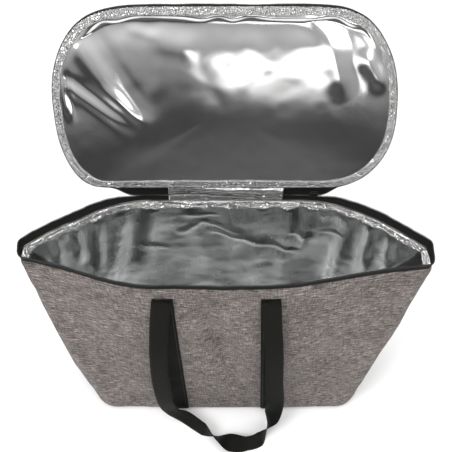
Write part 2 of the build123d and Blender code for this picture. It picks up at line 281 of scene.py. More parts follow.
# ---- materials -------------------------------------------------------------
class Shader:
    """A principled material, with short ways to add the nodes that drive it."""

    def __init__(self, name, color, roughness, metallic=0.0, **sockets):
        self.material = bpy.data.materials.new(name)
        self.material.use_nodes = True
        self.tree = self.material.node_tree
        self.out = self.tree.nodes["Principled BSDF"]
        self.out.inputs["Base Color"].default_value = (*color, 1)
        self.out.inputs["Roughness"].default_value = roughness
        self.out.inputs["Metallic"].default_value = metallic
        for socket, value in sockets.items():
            self.out.inputs[socket.replace("_", " ")].default_value = value

    def node(self, kind, inputs=None, **settings):
        node = self.tree.nodes.new(kind)
        for key, value in settings.items():
            setattr(node, key, value)
        for key, value in (inputs or {}).items():
            self.feed(node.inputs[key], value)
        return node

    def feed(self, socket, value):
        if isinstance(value, bpy.types.NodeSocket):
            self.tree.links.new(value, socket)
        else:
            socket.default_value = value

    def coords(self, kind="UV"):
        return self.node("ShaderNodeTexCoord").outputs[kind]

    def scaled(self, vector, size):
        """Coordinates stretched so that one unit is size metres along each axis."""
        scale = tuple(1 / s for s in size)
        return self.node("ShaderNodeMapping", {"Vector": vector, "Scale": scale}).outputs[0]

    def noise(self, vector, detail=3.0, rough=0.55, distortion=0.0):
        inputs = {"Vector": vector, "Scale": 1.0, "Detail": detail, "Roughness": rough, "Distortion": distortion}
        return self.node("ShaderNodeTexNoise", inputs).outputs["Fac"]

    def math(self, operation, a, b=0.0, c=0.0):
        return self.node("ShaderNodeMath", {0: a, 1: b, 2: c}, operation=operation).outputs[0]

    def axis(self, vector, index):
        return self.node("ShaderNodeSeparateXYZ", {0: vector}).outputs[index]

    def wave(self, value, pitch):
        """A sine from 0 to 1 along a coordinate in metres."""
        phase = self.math("MULTIPLY", value, 2 * math.pi / pitch)
        return self.math("MULTIPLY_ADD", self.math("SINE", phase), 0.5, 0.5)

    def ramp(self, value, stops):
        node = self.node("ShaderNodeValToRGB", {0: value})
        ramp = node.color_ramp
        while len(ramp.elements) < len(stops):
            ramp.elements.new(0.5)
        for element, (place, color) in zip(ramp.elements, stops):
            element.position = place
            element.color = (*color, 1) if len(color) == 3 else color
        return node.outputs[0]

    def mix(self, factor, a, b):
        node = self.node("ShaderNodeMix", data_type="RGBA")
        self.feed(node.inputs[0], factor)
        self.feed(node.inputs[6], a)
        self.feed(node.inputs[7], b)
        return node.outputs[2]

    def bump(self, *layers):
        """Stacks (height, depth in metres) layers into the shader's normal."""
        normal = None
        for height, depth in layers:
            inputs = {"Height": height, "Strength": 1.0, "Distance": depth}
            node = self.node("ShaderNodeBump", inputs)
            if normal is not None:
                self.tree.links.new(normal, node.inputs["Normal"])
            normal = node.outputs["Normal"]
        self.feed(self.out.inputs["Normal"], normal)

    def color(self, value):
        self.feed(self.out.inputs["Base Color"], value)

    def rough(self, value, low, high):
        node = self.node("ShaderNodeMapRange", {"Value": value, "To Min": low, "To Max": high})
        self.feed(self.out.inputs["Roughness"], node.outputs[0])


def heather():
    """Woven polyester of mixed warm grey yarns, with slubs along the weft."""
    s = Shader("heather_fabric", (0.2, 0.18, 0.17), 0.9, Sheen_Weight=0.08, Sheen_Roughness=0.5)
    s.out.inputs["Specular IOR Level"].default_value = 0.25
    uv = s.coords()
    slub = s.noise(s.scaled(uv, (0.0145, 0.0012, 1)), detail=3, rough=0.62)
    pick = s.noise(s.scaled(uv, (0.0050, 0.0009, 1)), detail=2, rough=0.6)
    warp = s.noise(s.scaled(uv, (0.0014, 0.0100, 1)), detail=3, rough=0.6)
    cloud = s.noise(s.scaled(uv, (0.06, 0.03, 1)), detail=2)
    mixed = s.math("ADD", s.math("MULTIPLY", slub, 0.52), s.math("MULTIPLY", pick, 0.22))
    mixed = s.math("ADD", mixed, s.math("MULTIPLY", warp, 0.26))
    mixed = s.math("ADD", mixed, s.math("MULTIPLY", s.math("SUBTRACT", cloud, 0.5), 0.10))
    stops = [
        (0.39, (0.046, 0.039, 0.036)),
        (0.45, (0.088, 0.076, 0.070)),
        (0.50, (0.160, 0.140, 0.130)),
        (0.55, (0.245, 0.217, 0.203)),
        (0.61, (0.430, 0.392, 0.370)),
    ]
    s.color(s.ramp(mixed, stops))
    over = s.wave(s.axis(uv, 0), 0.0009)
    under = s.wave(s.axis(uv, 1), 0.0009)
    s.bump((s.math("MULTIPLY", over, under), 0.00018), (slub, 0.0006), (warp, 0.0003))
    return s.material


def foil(name, tint, rough, crinkle, crinkle_size, emboss, detail=1.5, facets=0.0):
    """Aluminised film: a fine crosshatch pressed into it, and creases."""
    s = Shader(name, tint, rough, metallic=1.0)
    uv = s.coords()
    place = s.coords("Object")
    u, v = s.axis(uv, 0), s.axis(uv, 1)
    hatch = s.math("MULTIPLY", s.wave(s.math("ADD", u, v), 0.0022), s.wave(s.math("SUBTRACT", u, v), 0.0022))
    soft = s.noise(s.scaled(place, (crinkle_size,) * 3), detail=detail, rough=0.5, distortion=0.4)
    cells = s.node(
        "ShaderNodeTexVoronoi",
        {"Vector": s.scaled(place, (crinkle_size * 0.8,) * 3), "Randomness": 1.0},
        feature="DISTANCE_TO_EDGE",
    ).outputs["Distance"]
    creases = s.ramp(cells, [(0.0, (0, 0, 0)), (0.22, (1, 1, 1))])
    s.bump((soft, crinkle), (creases, facets), (hatch, emboss))
    wear = s.noise(s.scaled(place, (0.03, 0.03, 0.03)), detail=5)
    s.rough(wear, 0.7 * rough, 1.4 * rough)
    darker = tuple(0.84 * c for c in tint)
    s.color(s.mix(wear, (*tint, 1), (*darker, 1)))
    return s.material


def webbing():
    """Black polypropylene webbing: close ribs across, woven edges."""
    s = Shader("black_webbing", (0.012, 0.012, 0.012), 0.62, Sheen_Weight=0.02, Sheen_Roughness=0.4)
    s.out.inputs["Specular IOR Level"].default_value = 0.09
    uv = s.coords()
    u, v = s.axis(uv, 0), s.axis(uv, 1)
    ribs = s.wave(v, 0.0019)
    ends = s.wave(u, 0.0016)
    twill = s.wave(s.math("ADD", u, v), 0.0024)
    fuzz = s.noise(s.scaled(uv, (0.0012, 0.004, 1)), detail=4, rough=0.7)
    shade = s.math("ADD", s.math("MULTIPLY", twill, 0.5), s.math("MULTIPLY", fuzz, 0.5))
    s.color(s.ramp(shade, [(0.2, (0.0025, 0.0025, 0.002)), (0.8, (0.0090, 0.0088, 0.0075))]))
    s.bump((s.math("MULTIPLY", ribs, ends), 0.00035), (fuzz, 0.00025))
    s.rough(fuzz, 0.5, 0.75)
    return s.material


def zip_tape():
    """Fine ribbed polyester zip tape."""
    s = Shader("black_zip_tape", (0.010, 0.010, 0.010), 0.7)
    s.out.inputs["Specular IOR Level"].default_value = 0.2
    uv = s.coords()
    u, v = s.axis(uv, 0), s.axis(uv, 1)
    chevron = s.wave(s.math("ADD", u, s.math("MULTIPLY", s.math("PINGPONG", v, 0.0012), 1.6)), 0.0011)
    fuzz = s.noise(s.scaled(uv, (0.0010, 0.0010, 1)), detail=3)
    s.color(s.ramp(fuzz, [(0.3, (0.004, 0.004, 0.004)), (0.75, (0.012, 0.012, 0.012))]))
    s.bump((chevron, 0.00022), (fuzz, 0.00010))
    return s.material


def nylon():
    """Black nylon of the coil teeth."""
    s = Shader("zip_coil", (0.014, 0.014, 0.015), 0.32)
    spots = s.noise(s.scaled(s.coords("Object"), (0.0012,) * 3), detail=2)
    s.bump((spots, 0.00008))
    s.rough(spots, 0.26, 0.45)
    return s.material


def black_metal():
    """Black paint on a die casting, with bright metal just showing at its edges."""
    s = Shader("zip_metal", (0.018, 0.018, 0.02), 0.34, metallic=0.6)
    place = s.coords("Object")
    grain = s.noise(s.scaled(place, (0.0009,) * 3), detail=3)
    bevel = s.node("ShaderNodeBevel", {"Radius": 0.0005}, samples=4).outputs[0]
    normal = s.node("ShaderNodeNewGeometry").outputs["Normal"]
    edge = s.node("ShaderNodeVectorMath", {0: bevel, 1: normal}, operation="DOT_PRODUCT").outputs["Value"]
    worn = s.math("MULTIPLY", s.math("SUBTRACT", 1.0, edge), s.math("MULTIPLY", grain, 6.0))
    s.color(s.mix(s.math("MINIMUM", worn, 1.0), (0.018, 0.018, 0.02, 1), (0.35, 0.35, 0.36, 1)))
    s.bump((grain, 0.00006))
    s.rough(grain, 0.28, 0.42)
    return s.material


def sewing_thread(name, dark, light):
    """Polyester thread, twisted."""
    s = Shader(name, dark, 0.5, Sheen_Weight=0.1)
    place = s.coords("Object")
    twist = s.noise(s.scaled(place, (0.0005,) * 3), detail=2)
    s.color(s.ramp(twist, [(0.3, dark), (0.7, light)]))
    s.bump((twist, 0.0001))
    return s.material


def closed_foam():
    """White closed-cell foam, which the lining hides."""
    s = Shader("closed_foam", (0.82, 0.82, 0.80), 0.8)
    fine = s.scaled(s.coords("Object"), (0.0015,) * 3)
    cells = s.node("ShaderNodeTexVoronoi", {"Vector": fine}).outputs["Distance"]
    s.color(s.ramp(cells, [(0.0, (0.88, 0.88, 0.86)), (0.9, (0.70, 0.70, 0.68))]))
    s.bump((cells, 0.0003))
    return s.material


def pressed_board():
    """Black pressed board of the base, which the lining hides."""
    s = Shader("pressed_board", (0.03, 0.03, 0.03), 0.6)
    grain = s.noise(s.scaled(s.coords("Object"), (0.002,) * 3), detail=4)
    s.color(s.ramp(grain, [(0.3, (0.02, 0.02, 0.02)), (0.7, (0.05, 0.05, 0.048))]))
    s.bump((grain, 0.0002))
    return s.material


fabric = heather()
foil_field = foil("foil_lid_field", (0.80, 0.79, 0.79), 0.10, 0.00006, 0.045, 0.000012)
# painted shade: the wall and floor lining is the same foil as the lid's field, with its tint darkened for the shade
# inside the bag
foil_wall_painted_shade = foil("foil_wall_painted_shade", (0.53, 0.535, 0.535), 0.24, 0.0003, 0.060, 0.000015)
# painted highlight: the rim's facing band is the same foil with its tint lightened for the light it catches from
# above
foil_band_painted_highlight = foil("foil_band_painted_highlight", (0.93, 0.93, 0.92), 0.11, 0.0030, 0.0150, 0.00001, detail=1.6, facets=0.0005)
# painted shade: the lid's facing band is the same foil with its tint darkened
foil_lid_band_painted_shade = foil("foil_lid_band_painted_shade", (0.60, 0.595, 0.59), 0.10, 0.0034, 0.0150, 0.00001, detail=1.6, facets=0.0009)
foil_hinge = foil("foil_hinge", (0.84, 0.84, 0.84), 0.13, 0.0005, 0.0200, 0.00002)
web_black = webbing()
tape_black = zip_tape()
coil_black = nylon()
metal_black = black_metal()
thread = sewing_thread("black_thread", (0.008, 0.008, 0.008), (0.022, 0.021, 0.020))
thread_grey = sewing_thread("grey_thread", (0.30, 0.30, 0.30), (0.55, 0.55, 0.54))
foam_white = closed_foam()
board_black = pressed_board()


def dress(obj, body, material, slot, *nodes):
    """Gives a piece its material and body, and hides the CAD nodes that it stands for."""
    obj.data.materials.clear()
    obj.data.materials.append(material)
    if body:
        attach(obj, body)
    if nodes:
        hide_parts(*nodes)
    return obj


# ---- the walls' shape --------------------------------------------------------
def rounded_outline(corners, radii, arc_points, run_points):
    """A closed outline with rounded corners. It starts at the first corner's arc."""
    corners = np.array(corners, float)
    arcs = []
    for i, radius in enumerate(radii):
        here = corners[i]
        back = unit(corners[i - 1] - here)
        ahead = unit(corners[(i + 1) % len(corners)] - here)
        half = math.acos(float(np.clip(back @ ahead, -1, 1))) / 2
        reach = radius / math.tan(half)
        centre = here + unit(back + ahead) * radius / math.sin(half)
        start, end = here + back * reach - centre, here + ahead * reach - centre
        turn = math.pi - 2 * half
        t = np.linspace(0, 1, arc_points)[:, None]
        arcs.append(centre + (np.sin((1 - t) * turn) * start + np.sin(t * turn) * end) / math.sin(turn))
    line = []
    for i, count in enumerate(run_points):
        line.append(arcs[i])
        after = arcs[(i + 1) % len(arcs)][0]
        t = np.linspace(0, 1, count + 2)[1:-1, None]
        line.append(arcs[i][-1] * (1 - t) + after * t)
    return np.vstack(line)


ARC = 9
RUNS = [26, 26, 26, 44, 26, 26, 26, 34]  # points on each run between corners


def whole_outline(half, radii):
    mirrored = [(-x, y) for x, y in reversed(half)]
    return rounded_outline(half + mirrored, radii, ARC, RUNS)


base_line = whole_outline(
    [(FRONT_FLAT, -BASE_Y), (BASE_X, BASE_BOW - BASE_Y), (BASE_X, BASE_Y - BASE_BOW), (BACK_FLAT, BASE_Y)],
    [0.15, BASE_R, BASE_R, 0.15, 0.15, BASE_R, BASE_R, 0.15],
)
mouth_line = whole_outline(
    [(FRONT_FLAT, FRONT_RIM_Y), (TIP_X, TIP_FRONT_Y), (TIP_X, TIP_BACK_Y), (BACK_FLAT, BACK_RIM_Y)],
    [0.24, TIP_R, TIP_R, 0.12, 0.12, TIP_R, TIP_R, 0.15],
)
TIP_FULL = 0.0150  # the back of each end is this much fuller than a straight run to the tip
tip_share = smoothstep(0.155, 0.245, np.abs(mouth_line[:, 0]))
behind_tip = smoothstep(TIP_FRONT_Y, TIP_BACK_Y + 0.003, mouth_line[:, 1])
ahead_left = smoothstep(0.13, 0.25, -mouth_line[:, 0]) * (1 - behind_tip)
mouth_line[:, 1] += TIP_FULL * tip_share * behind_tip + 0.0085 * ahead_left
POINTS = len(base_line)
ARC_START = [sum(ARC + run for run in RUNS[:i]) for i in range(len(RUNS))]
SEAM_RIGHT = ARC_START[1] + ARC + RUNS[1] // 2  # the side seams run up the middles of the end walls
SEAM_LEFT = ARC_START[5] + ARC + RUNS[5] // 2
columns = np.arange(POINTS)
on_back = (columns >= SEAM_RIGHT) & (columns <= SEAM_LEFT)
middle_share = 1 - np.abs(mouth_line[:, 0]) / TIP_X  # 1 in the middle of the mouth, 0 at its ends
front_weight = np.where(on_back, 0, smoothstep(0, 0.6, middle_share))
back_weight = np.where(on_back, smoothstep(0, 0.6, middle_share), 0)
side = np.sign(mouth_line[:, 0])
fold_weight = sum(bell(columns, c, 9) for c in (ARC_START[1] + 4, ARC_START[6] + 4))
end_weight = bell(columns, SEAM_RIGHT, 12) + bell(columns, SEAM_LEFT, 12)
SKEW_BASE, SKEW_RIM = -0.002, -0.012  # how far the front leans to the left


def front_skew(height):
    return SKEW_BASE + (SKEW_RIM - SKEW_BASE) * np.asarray(height) / RIM_Z


def wall_shape(heights):
    """The bag's outer surface: a row of points round it at each height."""
    t = (np.array(heights) / RIM_Z)[:, None]
    flat = base_line[None] * (1 - t[..., None]) + mouth_line[None] * t[..., None]
    points = np.concatenate([flat, np.broadcast_to(t[..., None] * RIM_Z, flat.shape[:2] + (1,))], axis=2)
    normals = grid_normals(points, wrap=True)
    x, z = points[..., 0], points[..., 2]
    swell = np.sin(np.pi * np.clip(t, 0, 1))
    push = 0.0025 * swell * (front_weight + back_weight)
    push = push + fold_weight * np.sin(np.pi * t**0.7) * np.where(side < 0, 0.010, 0.005)
    push = push - end_weight * 0.006 * swell
    dent_x = 0.016 - 0.062 * (t - 0.35)  # a soft dent that runs down from the left strap
    dent = bell(x, dent_x, 0.016) * bell(t, 0.60, 0.30) * (1 - smoothstep(0.78, 0.97, t))
    push = push - 0.0115 * dent * front_weight + 0.0042 * bell(x, dent_x + 0.034, 0.020) * front_weight * swell
    push = push + 0.0026 * bell(z, 0.010, 0.012) * np.where(on_back, 0.8, 1.0)
    free = 1 - smoothstep(0.90, 0.99, t) * (on_back & (np.abs(mouth_line[:, 0]) < 0.150))
    push = push + 0.0013 * lumps(points, 0.070, seed=3) * free * smoothstep(0, 0.06, t)
    push = push + 0.00018 * lumps(points, 0.022, seed=9) * free * smoothstep(0, 0.06, t)
    points = points + normals * push[..., None]
    points[..., 0] += front_weight * front_skew(z)
    points[..., 2] -= 0.004 * smoothstep(0.75, 1.0, x / TIP_X) * t**4
    return points


FOOT_HEIGHTS = [0, 0.0024, 0.004, BEVEL_Z, 0.009, 0.013]
TOP_HEIGHTS = [0.2615, 0.264, 0.266, 0.268, 0.2693, RIM_Z]
HEIGHTS = np.concatenate([FOOT_HEIGHTS, np.linspace(0.018, 0.258, 56), TOP_HEIGHTS])
wall = wall_shape(HEIGHTS)
wall_normals = grid_normals(wall, wrap=True)


def bevel_inset(height):
    return BEVEL * np.clip(1 - np.asarray(height) / BEVEL_Z, 0, 1)


def wall_at(heights, inset):
    """Points on the wall at a height for each row (or each row and column), moved in by inset."""
    heights = np.asarray(heights, float)
    heights = heights[:, None] if heights.ndim == 1 else heights
    heights = np.broadcast_to(heights, (len(heights), POINTS))
    surface = np.empty(heights.shape + (3,))
    normal = np.empty_like(surface)
    for c in range(POINTS):
        for k in range(3):
            surface[:, c, k] = np.interp(heights[:, c], HEIGHTS, wall[:, c, k])
            normal[:, c, k] = np.interp(heights[:, c], HEIGHTS, wall_normals[:, c, k])
    inset = np.broadcast_to(np.asarray(inset, float), heights.shape)
    return surface - unit(normal) * inset[..., None]


def halves(grid):
    """The front and back halves of a grid that goes round the bag, which meet at the side seams."""
    front = np.concatenate([grid[:, SEAM_LEFT:], grid[:, : SEAM_RIGHT + 1]], axis=1)
    return front, grid[:, SEAM_RIGHT : SEAM_LEFT + 1]


# ---- pleats and creases of the lining ----------------------------------------
# each pleat: x at the rim, x low down, width, depth in from the wall, how far down it reaches
PLEATS = [
    (-0.142, -0.190, 0.013, 0.0065, 0.20),
    (-0.100, -0.140, 0.017, 0.0050, 0.22),
    (-0.178, -0.205, 0.009, 0.0050, 0.16),
    (-0.206, -0.222, 0.006, 0.0035, 0.09),
    (-0.232, -0.238, 0.005, 0.0028, 0.07),
    (-0.048, -0.030, 0.020, 0.0030, 0.18),
    (0.004, 0.020, 0.012, 0.0030, 0.13),
    (0.052, 0.040, 0.015, 0.0034, 0.22),
    (0.090, 0.092, 0.010, 0.0055, 0.23),
    (0.122, 0.106, 0.008, 0.0060, 0.13),
    (0.141, 0.130, 0.006, 0.0045, 0.11),
    (0.172, 0.176, 0.008, 0.0060, 0.22),
    (0.200, 0.212, 0.007, 0.0045, 0.15),
    (0.226, 0.236, 0.006, 0.0035, 0.09),
]
# each crease: its two ends as (x, z), width, depth
CREASES = [
    ((-0.035, 0.232), (0.022, 0.196), 0.0040, 0.0030),
    ((-0.035, 0.232), (-0.066, 0.196), 0.0035, 0.0022),
    ((-0.020, 0.205), (0.060, 0.168), 0.0050, 0.0028),
    ((0.050, 0.176), (0.112, 0.150), 0.0040, 0.0025),
    ((0.100, 0.205), (0.128, 0.182), 0.0045, 0.0030),
    ((-0.125, 0.172), (-0.070, 0.140), 0.0060, 0.0024),
    ((0.150, 0.205), (0.168, 0.214), 0.0030, 0.0016),
    ((-0.060, 0.246), (-0.010, 0.242), 0.0035, 0.0016),
]


def along_and_off(x, y, start, end):
    """Where points lie along a line, from 0 to 1 between its ends, and how far off to its side."""
    run = np.subtract(end, start)
    length = np.linalg.norm(run)
    dx, dy = x - start[0], y - start[1]
    return (dx * run[0] + dy * run[1]) / length**2, (dx * -run[1] + dy * run[0]) / length


def lining_depth(points):
    """How far the lining stands in from the foam, at points on the wall."""
    x, z = points[..., 0], points[..., 2]
    down = np.clip((RIM_Z - z) / RIM_Z, 0, 1)
    depth = np.zeros(x.shape)
    for x_top, x_low, width, deep, reach in PLEATS:
        line = x_top + (x_low - x_top) * down / 0.7
        spread = width * (0.75 + 0.8 * down)
        start = smoothstep(0.002, 0.022, RIM_Z - z)
        depth += deep * bell(x, line, spread) * start * (1 - smoothstep(0.6 * reach, 1.15 * reach, RIM_Z - z))
    back = (on_back * 1.0)[None]
    for start, end, width, deep in CREASES:
        along, off = along_and_off(x, z, start, end)
        ends = smoothstep(-0.15, 0.15, along) * (1 - smoothstep(0.85, 1.15, along))
        depth += deep * np.exp(-((off / width) ** 2)) * ends * back
    loose = smoothstep(0.004, 0.03, RIM_Z - z) * smoothstep(0.0, 0.03, z)
    depth -= 0.0035 * bell(x, -0.075, 0.050) * bell(z, 0.120, 0.060) * back
    drawn = points * np.array([1.0, 1.0, 0.35])
    depth += loose * 0.0010 * (0.7 + lumps(drawn, 0.050, seed=21))
    return np.maximum(depth, 0)


def wall_panels():
    """Outer fabric, foam and foil lining of the front and back."""
    heights = HEIGHTS[1:]
    turn_in = 0.0021 * smoothstep(0.262, RIM_Z, heights)
    outer = wall_at(heights, (bevel_inset(heights) + turn_in)[:, None])
    inner = wall_at(heights, (bevel_inset(heights) + turn_in + FABRIC)[:, None])
    seam_dip = 0.0012 * (bell(columns, SEAM_RIGHT, 0.8) + bell(columns, SEAM_LEFT, 0.8))
    outer = outer - wall_normals[1:] * seam_dip[None, :, None]
    for name, a, b in zip(("front", "back"), halves(outer), halves(inner)):
        dress(thick_sheet(f"{name}_cover", a, b), "bag", fabric, "heather_fabric", f"{name}_panel")
    foam_heights = HEIGHTS[(HEIGHTS > 0.009) & (HEIGHTS < 0.262)]
    foam_outer = wall_at(foam_heights, FABRIC + 0.0001)
    foam_inner = wall_at(foam_heights, FABRIC + FOAM - 0.0001)
    for name, a, b in zip(("front", "back"), halves(foam_outer), halves(foam_inner)):
        piece = thick_sheet(f"{name}_padding", a, b)
        dress(piece, "bag", foam_white, "closed_cell_foam", f"foam_{name}")
    lining_heights = np.concatenate([[0.0095], np.linspace(0.012, 0.262, 110), [0.265, 0.268]])
    turn_out = 0.0021 * smoothstep(0.258, 0.268, lining_heights)
    at = wall_at(lining_heights, 0)
    depth = FABRIC + FOAM - turn_out[:, None] + lining_depth(at)
    lining_outer = wall_at(lining_heights, depth)
    lining_inner = wall_at(lining_heights, depth + LINER)
    for name, a, b in zip(("front", "back"), halves(lining_outer), halves(lining_inner)):
        dress(thick_sheet(f"{name}_lining", a, b), "bag", foil_wall_painted_shade, "foil_lining", f"liner_{name}")


def rings_inwards(rim, height, shares):
    """Rings from a rim towards the middle, at the shares of its size given, for a filled face."""
    rings = [np.concatenate([rim[:, :2] * share, np.full((len(rim), 1), height)], axis=1) for share in shares]
    return np.array(rings)


def base_pieces():
    """The fabric under the base, and the foil floor inside."""
    low = wall_at([0.0001], BEVEL)[0]
    high = wall_at([0.0024], bevel_inset(0.0024))[0]
    shares = np.concatenate([[1, 0.995], np.linspace(0.97, 0.0, 18)])
    under = rings_inwards(low, 0.0, shares)
    top = rings_inwards(high, 0.0023, shares)
    dress(thick_sheet("base_cover", under, top, wrap=True), "bag", fabric, "heather_fabric", "base_panel")
    rim = wall_at([0.0098], FABRIC + FOAM + LINER)[0]
    floor = rings_inwards(rim, 0.0101, shares)
    away = smoothstep(0, 0.03, np.linalg.norm(floor[0][None] - floor, axis=2))
    floor[..., 2] += 0.0022 * away * (0.6 + lumps(floor, 0.05, seed=41)) + 0.0005 * lumps(floor, 0.012, seed=43)
    floor_low = floor.copy()
    floor_low[..., 2] -= LINER
    floor_low[..., 2] = np.maximum(floor_low[..., 2], 0.0095)
    dress(thick_sheet("floor_lining", floor, floor_low, wrap=True), "bag", foil_wall_painted_shade, "foil_lining", "liner_base")


def rim_band():
    """The crinkled foil facing under the zip, with its uneven lower edge."""
    mouth = wall_at([0.262], 0)
    wobble = lumps(mouth, 0.020, seed=51)[0] + 0.6 * lumps(mouth, 0.007, seed=52)[0]
    low = 0.2575 + 0.0035 * wobble
    share = np.linspace(0, 1, 26)[:, None]
    heights = low[None] + (0.2688 - low[None]) * share
    turn_out = 0.0021 * smoothstep(0.258, 0.268, heights)
    at = wall_at(heights, 0)
    crinkle = 0.0014 * (0.6 + lumps(at, 0.0120, seed=55))
    crinkle *= smoothstep(0, 0.18, share) * (1 - smoothstep(0.86, 1.0, share))
    depth = FABRIC + FOAM - turn_out + LINER + lining_depth(at) + 0.0003
    outer = wall_at(heights, depth)
    inner = wall_at(heights, depth + 0.0005 + np.maximum(crinkle, 0))
    band = thick_sheet("rim_facing_band", outer, inner, wrap=True)
    dress(band, "bag", foil_band_painted_highlight, "foil_lining", "rim_facing")


# ---- zip round the mouth -------------------------------------------------------
COIL_PITCH = 0.0015
TOOTH = (0.00056, 0.0011, 0.0012)  # half a tooth, along, across and out of the tape
Z_UP = np.array([0, 0, 1.0])


def tape_piece(name, middle, body, node):
    """Zip tape, as a sheet about a grid of points."""
    shift = grid_normals(middle, wrap=False) * TAPE_T / 2
    return dress(thick_sheet(name, middle + shift, middle - shift), body, tape_black, "black_zip_tape", node)


def coil(name, edge, outward, lift, body, *nodes):
    """The coil's teeth along an edge of the tape, lifted off it outwards."""
    line = resample(edge, int(arc_lengths(edge)[-1] / COIL_PITCH))
    out = np.broadcast_to(outward, line.shape)
    teeth = scatter(name, line + out * lift, unit(np.gradient(line, axis=0)), out, TOOTH)
    return dress(teeth, body, coil_black, "zip_teeth", *nodes)


def mouth_run(height, inset):
    """A line round the mouth from the left of the fabric hinge to its right, evenly spaced."""
    ring = wall_at([height], inset)[0]
    ring = np.roll(ring, -ARC_START[3] - ARC - RUNS[3] // 2, axis=0)
    ring = np.vstack([ring, ring[:1]])
    fine = resample(ring, 1400)
    hinge = (np.abs(fine[:, 0]) < HINGE_HALF) & (fine[:, 1] > 0.05)
    return fine[~hinge]


def zip_round_mouth():
    """The bag's half of the zip, standing up round the mouth and flaring out behind."""
    foot = mouth_run(0.2655, 0.0027)
    out = unit(np.cross(np.gradient(foot, axis=0), np.array([[0, 0, 1.0]])))
    behind = smoothstep(-0.030, 0.012, foot[:, 1])
    near_hinge = (1 - smoothstep(0.128, 0.160, np.abs(foot[:, 0]))) * behind
    ripple = lumps(foot, 0.045, seed=61) * (1 - near_hinge)
    rise = 0.0105 + 0.0022 * (1 - near_hinge) * behind + 0.0008 * ripple
    flare = 0.0008 + behind * (0.0022 + 0.0034 * (1 - near_hinge)) + 0.0008 * ripple
    share = np.linspace(0, 1, 7)[:, None]
    lift = share[..., None] * rise[None, :, None] * Z_UP
    lean = (share[..., None] ** 1.5) * flare[None, :, None] * out[None]
    middle = foot[None] + lift + lean
    tape_piece("mouth_zip_tape", middle, "bag", "zip_tape_bag")
    coil("mouth_zip_teeth", middle[-1], Z_UP, 0.0008, "bag", "zip_teeth_bag")


# ---- lid -----------------------------------------------------------------------
def lid_place(x, up, out):
    """Lid coordinates to the row frame: x along the hinge, up from the hinge, out of the foil side."""
    x, up, out = np.broadcast_arrays(x, up, out)
    return PIVOT + x[..., None] * np.array([1.0, 0, 0]) + up[..., None] * LID_UP + out[..., None] * LID_OUT


LID_BOTTOM, LID_TOP = 0.0025, 0.2320
# the lid's outline, as (x, up) from the middle of its bottom edge, up its right side and down its left
# (first worked out by a separate script from positions in the photograph, then adjusted)
lid_turns = [
    (0.0, LID_BOTTOM),
    (0.060, LID_BOTTOM),
    (0.120, LID_BOTTOM),
    (0.1532, 0.0050),
    (0.1732, 0.0115),
    (0.1892, 0.0215),
    (0.2022, 0.0355),
    (0.2112, 0.0510),
    (0.2172, 0.0690),
    (0.2197, 0.0880),
    (0.2197, 0.1050),
    (0.2187, 0.1220),
    (0.2167, 0.1390),
    (0.2132, 0.1550),
    (0.2077, 0.1711),
    (0.1997, 0.1866),
    (0.1892, 0.2016),
    (0.1757, 0.2149),
    (0.1602, 0.2235),
    (0.1422, 0.2290),
    (0.1150, 0.2315),
    (0.060, LID_TOP),
    (0.0, LID_TOP),
    (-0.060, LID_TOP),
    (-0.1080, 0.2315),
    (-0.1365, 0.2290),
    (-0.1595, 0.2235),
    (-0.1765, 0.2155),
    (-0.1905, 0.2038),
    (-0.2020, 0.1894),
    (-0.2105, 0.1728),
    (-0.2165, 0.1560),
    (-0.2200, 0.1400),
    (-0.2215, 0.1230),
    (-0.2215, 0.1050),
    (-0.2210, 0.0880),
    (-0.2190, 0.0690),
    (-0.2150, 0.0520),
    (-0.2085, 0.0350),
    (-0.1990, 0.0195),
    (-0.1865, 0.0090),
    (-0.1685, 0.0040),
    (-0.120, LID_BOTTOM),
    (-0.060, LID_BOTTOM),
    (0.0, LID_BOTTOM),
]
lid_rim = resample(spline([(x, up, 0.0) for x, up in lid_turns], 1200), 361)[:-1, :2]
LID_MIDDLE = (LID_BOTTOM + LID_TOP) / 2
lid_centre = np.array([0.0, LID_MIDDLE])
rim_along = np.roll(lid_rim, -1, axis=0) - np.roll(lid_rim, 1, axis=0)
rim_out = unit(np.stack([rim_along[:, 1], -rim_along[:, 0]], axis=1))
rim_reach = np.sum((lid_rim - lid_centre) * rim_out, axis=1)  # from the middle square to the rim
rim_reach = np.mean([np.roll(rim_reach, k) for k in range(-12, 13)], axis=0)  # without kinks at the corners


def lid_grid(shares, grow=0.0):
    """x and up of rings from the lid's middle (0) to its rim (1), and the distance in from the rim."""
    share = np.asarray(shares)
    share = share[:, None] if share.ndim == 1 else share
    rim = lid_rim + rim_out * grow
    flat = lid_centre + (rim - lid_centre)[None] * share[..., None]
    return flat[..., 0], flat[..., 1], (1 - share) * rim_reach[None]


# each fold of the lid's foil: its two ends as (x, up), width, height out of the foil
LID_FOLDS = [
    ((-0.192, 0.204), (-0.126, 0.096), 0.0130, 0.0023),
    ((-0.207, 0.142), (-0.130, 0.084), 0.0060, 0.0013),
    ((-0.212, 0.156), (-0.204, 0.100), 0.0050, 0.0014),
    ((-0.150, 0.134), (-0.112, 0.092), 0.0060, 0.0008),
    ((-0.120, 0.206), (-0.085, 0.196), 0.0060, 0.0005),
    ((0.080, 0.232), (0.128, 0.196), 0.0080, 0.0008),
    ((0.124, 0.202), (0.148, 0.130), 0.0120, 0.0012),
    ((0.170, 0.176), (0.200, 0.136), 0.0110, 0.0013),
    ((0.156, 0.206), (0.192, 0.176), 0.0080, 0.0006),
    ((0.020, 0.196), (0.054, 0.160), 0.0110, 0.0003),
    ((-0.095, 0.196), (-0.040, 0.180), 0.0140, 0.0009),
]



